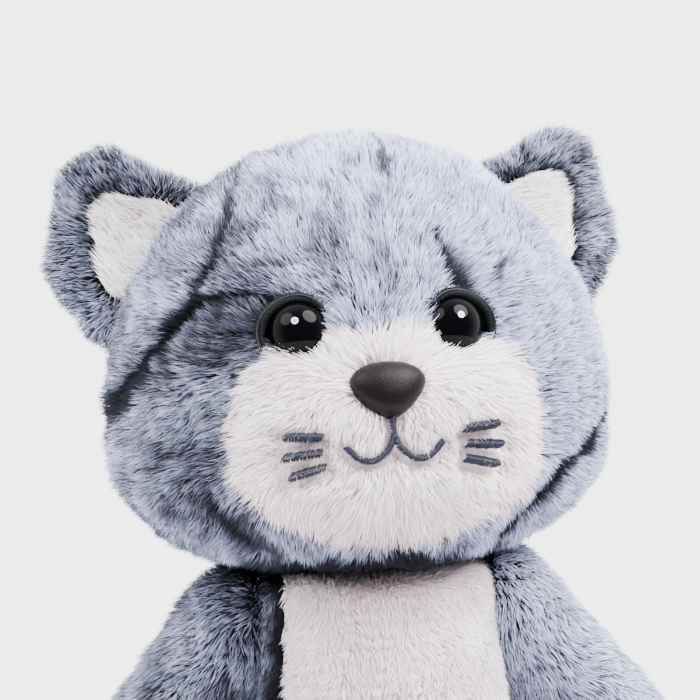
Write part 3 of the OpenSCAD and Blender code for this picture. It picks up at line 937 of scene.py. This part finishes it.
WASHER_WHITE = add_grain(plain("washer_plastic", (0.75, 0.75, 0.73), 0.4),
                         scale=900, depth=0.05, strength=0.3)
PELLET_CLOTH = add_grain(plain("pellet_cloth", (0.55, 0.45, 0.33), 0.9),
                         scale=2500, depth=0.3, strength=0.6)


# ---- Frames for the parts of the face ----
def turned(point, turn, lean):
    """A 4 by 4 frame at a point: local z out of the face, local y up, turned outwards and leaned back."""
    a, b = math.radians(turn), math.radians(lean)
    out = np.array([math.sin(a) * math.cos(b), -math.cos(a) * math.cos(b), math.sin(b)])
    across = np.array([math.cos(a), math.sin(a), 0.0])
    up = np.cross(out, across)
    return np.array(point, float), np.stack([across, up, out])


def at(spot, local):
    """Points of a local frame in the row frame."""
    point, axes = spot
    return HEAD + point + np.asarray(local, float) @ axes


def lathe(profile, around):
    """A closed surface of revolution about local z; the profile runs from the axis to the axis."""
    turns = np.linspace(0, 2 * np.pi, around, endpoint=False)
    middle = np.array(profile[1:-1], float)
    ring = np.stack([np.outer(middle[:, 0], np.cos(turns)), np.outer(middle[:, 0], np.sin(turns)),
                     np.repeat(middle[:, 1:2], around, 1)], -1).reshape(-1, 3)
    verts = np.concatenate([ring, [[0, 0, profile[0][1]], [0, 0, profile[-1][1]]]])
    return (verts, *closed_rings(len(middle), around))


def tubes(paths, radius, sides):
    """Closed round tubes along paths, which all have the same number of points."""
    paths = np.asarray(paths, float)
    n, m, _ = paths.shape
    along = unit(np.gradient(paths, axis=1))
    helper = np.where(np.abs(along[..., 2:3]) < 0.9, [0, 0, 1.0], [1.0, 0, 0])
    one = unit(np.cross(along, helper))
    two = np.cross(along, one)
    turns = 2 * np.pi * np.arange(sides) / sides
    taper = np.ones(m)
    taper[0] = taper[-1] = 0.6
    size = (np.broadcast_to(radius, n)[:, None] * taper)[:, :, None, None]
    ring = (paths[:, :, None] + one[:, :, None] * np.cos(turns)[:, None] * size
            + two[:, :, None] * np.sin(turns)[:, None] * size)
    index = np.arange(n * m * sides).reshape(n, m, sides)
    after = np.roll(index, -1, axis=2)
    quads = np.stack([index[:, :-1], after[:, :-1], after[:, 1:], index[:, 1:]], -1).reshape(-1, 4)
    caps = np.concatenate([index[:, 0, ::-1], index[:, -1]])
    return ring.reshape(-1, 3), quads, caps


# ---- Eyes ----
EYE_R, EYE_H = 8.1, 4.7
DOME_R = (EYE_R**2 + EYE_H**2) / (2 * EYE_H)
WIDE_OPEN = math.asin(EYE_R / DOME_R)
STEM_R, STEM_END = 2.0, -9.0


def dome_profile(lift, opening, steps):
    return [(DOME_R * math.sin(a), EYE_H - DOME_R + DOME_R * math.cos(a) + lift)
            for a in np.linspace(0, opening, steps)]


def lid_place(spot, s, degrees, out, lift):
    """A point around an eye: 0 degrees is the outer side and 90 the top."""
    a = np.radians(degrees)
    wide = 8.9 + 1.9 * smooth(70, -20, degrees) + out
    sag = -0.045 * np.maximum(wide - 8, 0) ** 2
    return at(spot, np.stack([s * wide * np.cos(a), wide * np.sin(a) * 0.98, lift + sag], -1))


LID_FROM, LID_TO = -34.0, 150.0
for s, side in SIDES:
    eye_spot = turned((s * EYE_OUT - EYE_SHIFT, -48.6, 6.2 - EYE_TIP * s), turn=s * 12, lean=7)
    profile = dome_profile(0, WIDE_OPEN, 40) + [(EYE_R + 0.05, -0.25), (EYE_R - 0.1, -0.8), (STEM_R, -0.9),
                                                (STEM_R, STEM_END), (0, STEM_END)]
    verts, quads, tris = lathe(profile, 128)
    eye = new_mesh("eye_dome_" + side, at(eye_spot, verts), [quads, tris], EYE_BLACK)
    declare(eye, "head", ["eye_" + side])
    # The painted highlight is a thin cap on the dome, white around a grey middle: a round lamp's reflection
    # painted on
    highlight_under = [(0.9, EYE_H - 0.3), (0, EYE_H - 0.35)]
    highlight_verts, highlight_quads, highlight_tris = lathe(dome_profile(0.04, 0.105, 14) + highlight_under, 40)
    lean_x, lean_y = -0.3 / DOME_R, 1.8 / DOME_R
    ball = np.array([0, 0, EYE_H - DOME_R])
    tip = unit(np.array([lean_x, lean_y, 1.0]))
    across = unit(np.cross([0, 1.0, 0], tip))
    place = np.stack([across, np.cross(tip, across), tip])
    dot = new_mesh("eye_painted_highlight_" + side, at(eye_spot, (highlight_verts - ball) @ place + ball),
                   [highlight_quads, highlight_tris], PAINTED_HIGHLIGHT_WHITE)
    middle = at(eye_spot, tip * DOME_R + ball)
    paint_faces(dot, PAINTED_HIGHLIGHT_GREY, lambda p: np.linalg.norm(p - middle, axis=-1) < 0.58)
    declare(dot, "head", ())

    steps = np.linspace(LID_FROM, LID_TO, 70)
    ends = np.sin(np.pi * np.clip((steps - LID_FROM) / (LID_TO - LID_FROM), 0.02, 0.98)) ** 0.35
    turns = np.linspace(0, 2 * np.pi, 20, endpoint=False)
    ring = np.stack([lid_place(eye_spot, s, steps, 1.8 * ends * math.cos(t) - 0.1,
                               -0.5 + (2.5 * ends * math.sin(t))) for t in turns], 1)
    index = np.arange(ring.shape[0] * ring.shape[1]).reshape(ring.shape[:2])
    order = slice(None) if s > 0 else slice(None, None, -1)
    quads = ring_quads(index)[:, order]
    caps = np.stack([index[0], index[-1][::-1]])[:, order]
    lid = new_mesh("eyelid_band_" + side, ring.reshape(-1, 3), [quads, caps], LID_CLOTH)
    declare(lid, "head", ["eyelid_" + side])
    spine = lid_place(eye_spot, s, np.linspace(LID_FROM + 6, LID_TO - 6, 60), 0.5, 1.85)
    verts, quads, caps = tubes([spine], 0.24, 8)
    piping = new_mesh("eyelid_piping_" + side, verts, [quads, caps], PIPING)
    declare(piping, "head", ())
    rng = np.random.default_rng(120 + s)
    lashes = []
    for inner, count in ((True, 30), (False, 44)):
        for degrees in np.linspace(LID_FROM + 4, LID_TO - 4, count) + rng.normal(0, 1.0, count):
            shift = rng.normal(0, 2.2, 2)
            outs = (-0.2, -0.95, -1.75) if inner else (0.4, 1.4, 2.2 + 0.5 * rng.random())
            lifts = (1.85, 1.75, 0.9) if inner else (1.8, 1.6, 1.2 + 0.5 * rng.random())
            lashes.append([lid_place(eye_spot, s, np.array([degrees + k * shift[0]]), o, h)[0]
                           for k, (o, h) in enumerate(zip(outs, lifts))])
    verts, quads, caps = tubes(lashes, 0.13, 5)
    lash = new_mesh("eyelid_stitches_" + side, verts, [quads, caps], LASH_THREAD)
    declare(lash, "head", ())

# ---- Nose ----
nose_spot = turned((-0.4, -55.0, -11.4), turn=0, lean=14)
NOSE_WIDE, NOSE_TALL, NOSE_DEEP = 10.8, 7.9, 5.7


def nose_distance(p):
    """A rounded triangle, point down: the nose narrows below its widest line."""
    below = 2.2 - p[:, 1]
    wide = NOSE_WIDE * 1.09 * (1 - 0.027 * (below + np.sqrt(below**2 + 9)))
    q = np.abs(np.stack([(p[:, 0] - 0.02 * (3 - p[:, 1])) / np.maximum(wide, 1), p[:, 1] / NOSE_TALL,
                         p[:, 2] / NOSE_DEEP], -1))
    return ((q**2.25).sum(-1) ** (1 / 2.25) - 1) * 5


nose_skin = ray_skin(np.array([0, 0.6, 0.0]), nose_distance, far=30, around=160, rows=110)
nose = new_mesh("nose_shell", at(nose_spot, nose_skin.verts), [nose_skin.quads, nose_skin.tris], NOSE_BROWN)
declare(nose, "head", ["nose"])


# ---- Stitching ----
def front_points(x, z, lift):
    """Points on the front of the head's skin, raised along its normal."""
    x, z = np.asarray(x, float), np.asarray(z, float)
    out, in_ = np.full(len(x), -80.0), np.full(len(x), -20.0)
    for _ in range(26):
        middle = (out + in_) / 2
        within = head_distance(np.stack([x, middle, z], -1)) < 0
        in_, out = np.where(within, middle, in_), np.where(within, out, middle)
    p = np.stack([x, middle, z], -1)
    steps = np.eye(3) * 0.2
    slope = np.stack([head_distance(p + d) - head_distance(p - d) for d in steps], -1)
    return HEAD + p + unit(slope) * np.asarray(lift)[..., None]


FLOSS_R, FLOSS_STEP = 0.22, 0.38  # a strand of floss, and the step from one to the next


def rounded(points, steps=12):
    """A smooth line through points."""
    points = np.array(points, float)
    ends = np.concatenate([[2 * points[0] - points[1]], points, [2 * points[-1] - points[-2]]])
    t = np.linspace(0, 1, steps, endpoint=False)[:, None]
    out = []
    for a, b, c, d in zip(ends, ends[1:], ends[2:], ends[3:]):
        out.append(0.5 * (2 * b + (c - a) * t + (2 * a - 5 * b + 4 * c - d) * t**2
                          + (3 * b - a - 3 * c + d) * t**3))
    return np.concatenate(out + [points[-1:]])


def satin(points, wide, rise, rng):
    """Strands of floss side by side, slanting across a line and arching over it into the fabric."""
    line = rounded(points)
    gone = np.concatenate([[0], np.cumsum(np.linalg.norm(np.diff(line, axis=0), axis=1))])
    places = np.arange(FLOSS_STEP / 2, gone[-1], FLOSS_STEP)
    t = np.linspace(-1, 1, 9)
    paths = []
    for place in places:
        middle = np.array([np.interp(place, gone, line[:, k]) for k in (0, 1)])
        ahead = np.array([np.interp(place + 0.3, gone, line[:, k]) for k in (0, 1)])
        behind = np.array([np.interp(place - 0.3, gone, line[:, k]) for k in (0, 1)])
        way = unit(ahead - behind)
        side = np.array([-way[1], way[0]])
        half = wide / 2 * (1 + rng.normal(0, 0.07)) * min(1, 0.55 + 1.2 * min(place, gone[-1] - place))
        slant = 0.45 + rng.normal(0, 0.12)
        across = middle + (t * half)[:, None] * side + (t * half * slant)[:, None] * way
        lift = 0.7 + rise * np.sqrt(np.clip(1 - 0.94 * t**2, 0, 1)) + rng.normal(0, 0.07)
        paths.append(front_points(across[:, 0], across[:, 1], lift))
    return paths


def stitching(name, lines, wide, rise, node, seed):
    rng = np.random.default_rng(seed)
    paths = [path for line in lines for path in satin(line, wide, rise, rng)]
    verts, quads, caps = tubes(paths, FLOSS_R, 6)
    declare(new_mesh(name, verts, [quads, caps], BLUE_THREAD), "head", [node])


mouth = [MOUTH_LINE] + [[(s * x, z) for x, z in SMILE] for s, _ in SIDES]
stitching("mouth_floss", mouth, 1.75, 2.1, "mouth_stitching", 130)
for s, side in SIDES:
    stitching("whisker_floss_" + side, [[(s * x, z) for x, z in line] for line in WHISKERS],
              2.5, 3.1, "whisker_stitching_" + side, 132 + s)

# ---- CAD nodes that stay, inside the cat ----
for node, material in (("eye_washer_right", WASHER_WHITE), ("eye_washer_left", WASHER_WHITE),
                       ("nose_washer", WASHER_WHITE), ("pellet_bag", PELLET_CLOTH)):
    mesh = frame["nodes"][node].data
    mesh.materials.clear()
    mesh.materials.append(material)

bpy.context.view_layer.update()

# ---- Studio ----
floor_mesh = bpy.data.meshes.new("floor")
FLOOR_R = 0.33  # metres
rim = [(FLOOR_R * math.cos(t), FLOOR_R * math.sin(t), 0)
       for t in np.linspace(0, 2 * math.pi, 96, endpoint=False)]
floor_mesh.from_pydata(rim, [], [list(range(96))])
floor_mesh.materials.append(plain("pale_floor", (0.86, 0.86, 0.87), 0.6))
floor_piece = bpy.data.objects.new("floor", floor_mesh)
bpy.context.scene.collection.objects.link(floor_piece)

world = bpy.data.worlds.new("studio")
bpy.context.scene.world = world
world.use_nodes = True
# The studio is bright all around, except for a darker opening in front, which the eyes and nose reflect
studio, studio_links = world.node_tree.nodes, world.node_tree.links
studio["Background"].inputs["Color"].default_value = (1, 1, 1, 1)
sky_place, sky_way = studio.new("ShaderNodeTexCoord"), studio.new("ShaderNodeSeparateXYZ")
sky_share = studio.new("ShaderNodeMapRange")
sky_share.interpolation_type = "SMOOTHSTEP"
FRONT_EDGE, FRONT_MIDDLE, DARK, BRIGHT = 0.15, -0.7, 0.3, 4.5
for socket, value in (("From Min", FRONT_MIDDLE), ("From Max", FRONT_EDGE),
                      ("To Min", DARK), ("To Max", BRIGHT)):
    sky_share.inputs[socket].default_value = value
studio_links.new(sky_place.outputs["Generated"], sky_way.inputs[0])
studio_links.new(sky_way.outputs["Y"], sky_share.inputs["Value"])
studio_links.new(sky_share.outputs["Result"], studio["Background"].inputs["Strength"])

LOOK_AT = Vector(HEAD * MM)


def soft_light(name, azimuth, elevation, distance, size, power):
    """A round softbox facing the head; azimuth 0 is in front and positive towards the cat's left."""
    a, e = math.radians(azimuth), math.radians(elevation)
    light = bpy.data.lights.new(name, "AREA")
    light.shape, light.size, light.energy = "DISK", size, power
    lamp = bpy.data.objects.new(name, light)
    way = Vector((math.sin(a) * math.cos(e), -math.cos(a) * math.cos(e), math.sin(e)))
    lamp.location = LOOK_AT + way * distance
    lamp.rotation_euler = way.to_track_quat("Z", "Y").to_euler()
    bpy.context.scene.collection.objects.link(lamp)


soft_light("key", azimuth=44, elevation=45, distance=1.7, size=1.3, power=155)
soft_light("fill", azimuth=-58, elevation=40, distance=1.8, size=1.3, power=58)

CAMERA_AZIMUTH, CAMERA_ELEVATION, CAMERA_ROLL = math.radians(-9), math.radians(0), math.radians(3.5)
DISTANCE = 0.69
lens = bpy.data.cameras.new("camera")
lens.lens, lens.sensor_width, lens.shift_x = 120, 36, -0.008
lens.clip_start, lens.clip_end = 0.02, 20
camera = bpy.data.objects.new("camera", lens)
way = Vector((math.sin(CAMERA_AZIMUTH) * math.cos(CAMERA_ELEVATION),
              -math.cos(CAMERA_AZIMUTH) * math.cos(CAMERA_ELEVATION), math.sin(CAMERA_ELEVATION)))
camera.location = LOOK_AT + way * DISTANCE
turn = way.to_track_quat("Z", "Y").to_matrix()
camera.rotation_euler = (turn @ type(turn).Rotation(-CAMERA_ROLL, 3, "Z")).to_euler()
bpy.context.scene.collection.objects.link(camera)
bpy.context.scene.camera = camera
